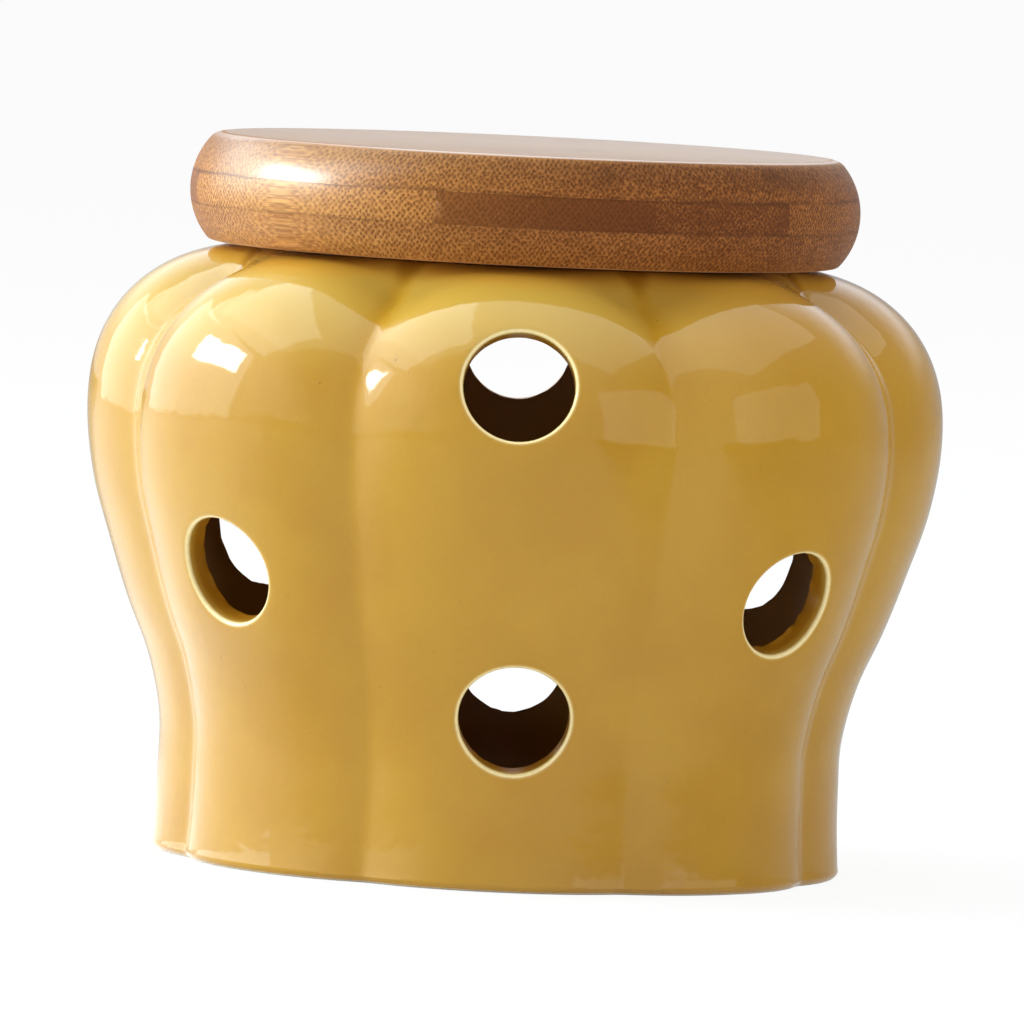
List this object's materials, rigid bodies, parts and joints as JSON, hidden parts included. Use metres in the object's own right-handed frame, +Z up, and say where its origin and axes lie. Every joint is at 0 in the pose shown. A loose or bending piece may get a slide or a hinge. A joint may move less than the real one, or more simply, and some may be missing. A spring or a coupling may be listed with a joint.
{
  "type": "garlic keeper",
  "caption": "Lidded round storage pot for garlic: a fluted, vented ceramic body with a laminated bamboo lid that lifts off and turns.",
  "frame": {"origin": "centre of the pot's base, on the surface that it stands on", "axes": "+Z up along the axis of the pot and lid; -Y towards the front, where one vent is high and one low; +X to the right"},
  "size_m": [0.1404, 0.1402, 0.1177],
  "materials": {
    "yellow_glaze": "glossy mustard yellow glaze",
    "bamboo_light": "sanded and oiled bamboo, pale",
    "bamboo_mid": "sanded and oiled bamboo, golden brown",
    "bamboo_dark": "sanded and oiled bamboo, red-brown",
    "silicone": "matte white silicone"
  },
  "bodies": {
    "pot": {"pot": "yellow_glaze"},
    "seal": {"seal_ring": "silicone"},
    "lid": {"lid_top_strip_1": "bamboo_mid", "lid_top_strip_2": "bamboo_light", "lid_top_strip_3": "bamboo_mid", "lid_top_strip_4": "bamboo_light", "lid_core_strip_1": "bamboo_mid", "lid_core_strip_2": "bamboo_light", "lid_core_strip_3": "bamboo_dark", "lid_core_strip_4": "bamboo_dark", "lid_core_strip_5": "bamboo_light", "lid_bottom_strip_1": "bamboo_mid", "lid_bottom_strip_2": "bamboo_light", "lid_bottom_strip_3": "bamboo_mid", "lid_bottom_strip_4": "bamboo_light", "lid_bottom_strip_5": "bamboo_mid", "lid_plug_strip_1": "bamboo_mid", "lid_plug_strip_2": "bamboo_light", "lid_plug_strip_3": "bamboo_mid", "lid_plug_strip_4": "bamboo_light"}
  },
  "joints": [
    {"name": "lid_lift", "type": "slide", "parent": "pot", "child": "seal", "axis": [0, 0, 1], "range_m": [0, 0.1]},
    {"name": "lid_turn", "type": "hinge", "parent": "seal", "child": "lid", "pos_m": [0, 0, 0.1], "axis": [0, 0, 1], "continuous": true}
  ]
}
